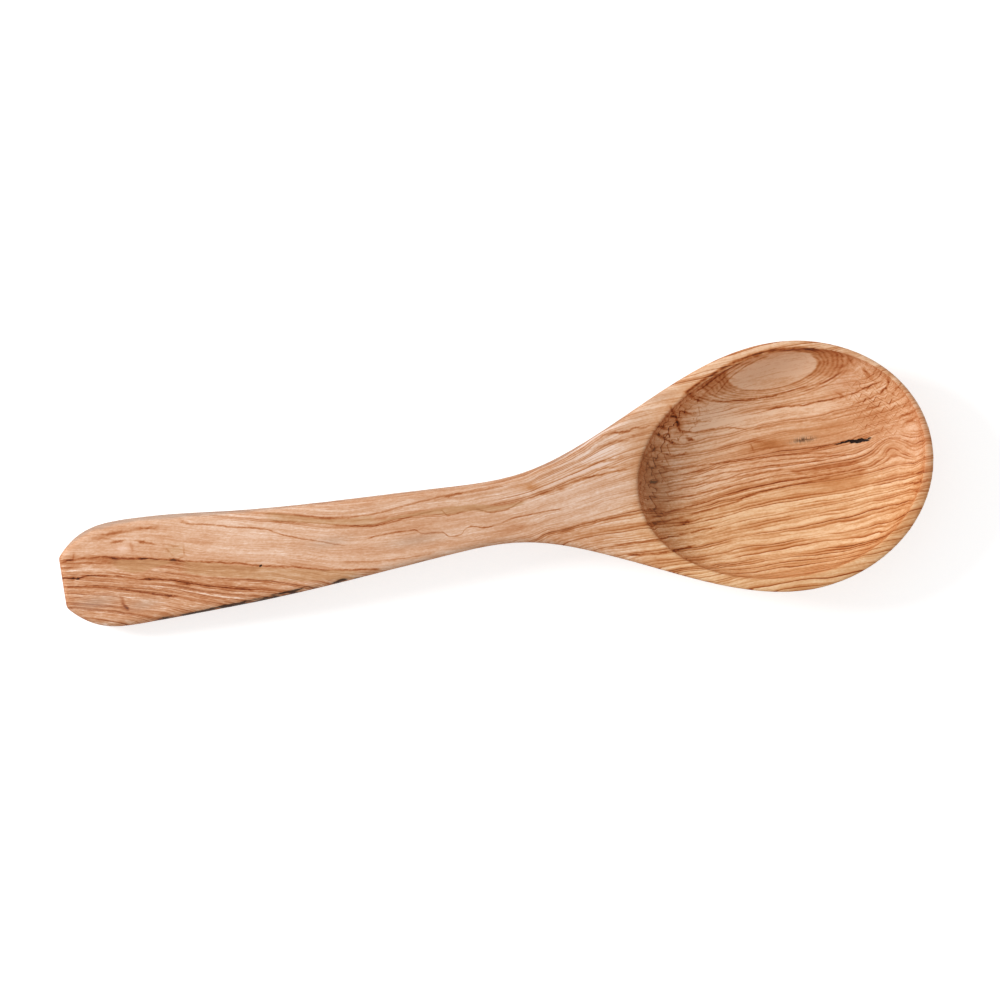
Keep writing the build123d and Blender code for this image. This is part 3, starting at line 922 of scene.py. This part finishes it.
def carved_spoon(solid):
    """The carved body, as an even, fine mesh that lies on the solid's surface."""
    piece = solid.copy()
    piece.data = solid.data.copy()
    for key in list(piece.keys()):
        del piece[key]
    piece.parent = None
    piece.name = "carved_spoon"
    piece.data.name = "carved_spoon"
    bpy.context.scene.collection.objects.link(piece)
    choose_only(piece)
    bpy.ops.object.mode_set(mode="EDIT")
    bpy.ops.mesh.select_all(action="SELECT")
    bpy.ops.mesh.remove_doubles(threshold=0.001 * MM)
    bpy.ops.object.mode_set(mode="OBJECT")
    apply_modifier(piece, "REMESH", "even_mesh", mode="VOXEL", voxel_size=GRAIN_OF_MESH)
    apply_modifier(piece, "SHRINKWRAP", "true_surface", target=solid, wrap_method="NEAREST_SURFACEPOINT")
    clouds = bpy.data.textures.new("hand_work", "CLOUDS")
    clouds.noise_scale = HAND_WORK_SPAN
    unevenness = {"texture": clouds, "texture_coords": "LOCAL", "strength": HAND_WORK, "mid_level": 0.5}
    apply_modifier(piece, "DISPLACE", "hand_work", **unevenness)
    for middle, size, depth in RECESSES:
        sink(piece, middle, size, depth)
    choose_only(piece)
    bpy.ops.object.shade_smooth()
    piece.data.materials.clear()
    piece.data.materials.append(olive_wood())
    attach(piece, "root")
    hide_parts("spoon")
    return piece


# ---------------------------------------------------------------- stage
def seen_directly(tree):
    """1 for rays that come from the camera, a mirror or glass, which see a plain white ground."""
    path = node(tree, "ShaderNodeLightPath").outputs
    through = calc(tree, "ADD", path["Is Glossy Ray"], path["Is Transmission Ray"])
    return calc(tree, "ADD", path["Is Camera Ray"], through, clamp=True)


def floor_finish():
    material = bpy.data.materials.new("white_ground")
    material.use_nodes = True
    tree = material.node_tree
    tree.nodes.clear()
    paper = node(tree, "ShaderNodeBsdfDiffuse", {"Color": FLOOR_COLOUR})
    strength = calc(tree, "MULTIPLY", seen_directly(tree), FLOOR_GLOW)
    glow = node(tree, "ShaderNodeEmission", {"Color": (1.0, 1.0, 1.0, 1.0), "Strength": strength})
    both = node(tree, "ShaderNodeAddShader", {0: paper.outputs[0], 1: glow.outputs[0]})
    node(tree, "ShaderNodeOutputMaterial", {"Surface": both.outputs[0]})
    return material


def stage():
    bpy.ops.object.select_all(action="DESELECT")
    bpy.ops.mesh.primitive_plane_add(size=4.0, location=(0, 0, -0.2 * MM))
    floor = bpy.context.active_object
    floor.name = "white_ground"
    floor.data.materials.append(floor_finish())


def light():
    world = bpy.data.worlds.new("room")
    bpy.context.scene.world = world
    world.use_nodes = True
    tree = world.node_tree
    background = tree.nodes["Background"]
    background.inputs["Color"].default_value = (1.0, 1.0, 1.0, 1.0)
    brightness = ramp(tree, seen_directly(tree), 0.0, 1.0, ROOM_LIGHT, 1.0, smooth=False)
    tree.links.new(brightness, background.inputs["Strength"])

    lamp = bpy.data.lights.new("key", "AREA")
    lamp.shape = "DISK"
    lamp.size = KEY_SIZE
    lamp.energy = KEY_POWER
    key = bpy.data.objects.new("key", lamp)
    bpy.context.scene.collection.objects.link(key)
    outward = math.cos(KEY_ELEVATION) * KEY_DISTANCE
    key.location = (
        math.cos(KEY_AZIMUTH) * outward,
        math.sin(KEY_AZIMUTH) * outward,
        math.sin(KEY_ELEVATION) * KEY_DISTANCE,
    )
    key.rotation_euler = (math.pi / 2 - KEY_ELEVATION, 0, KEY_AZIMUTH + math.pi / 2)


def camera():
    eye = bpy.data.cameras.new("camera")
    eye.lens = LENS
    eye.sensor_width = SENSOR
    eye.sensor_fit = "HORIZONTAL"
    eye.clip_start = 0.05
    placed = bpy.data.objects.new("camera", eye)
    bpy.context.scene.collection.objects.link(placed)
    distance = LENS / SENSOR * PICTURE_SPAN
    placed.location = (*PICTURE_MIDDLE, SUBJECT_HEIGHT + distance)
    placed.rotation_euler = (0, 0, -PICTURE_TURN)
    bpy.context.scene.camera = placed


bpy.context.scene.view_settings.view_transform = "Standard"
camera()
light()
stage()
carved_spoon(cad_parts["spoon"])
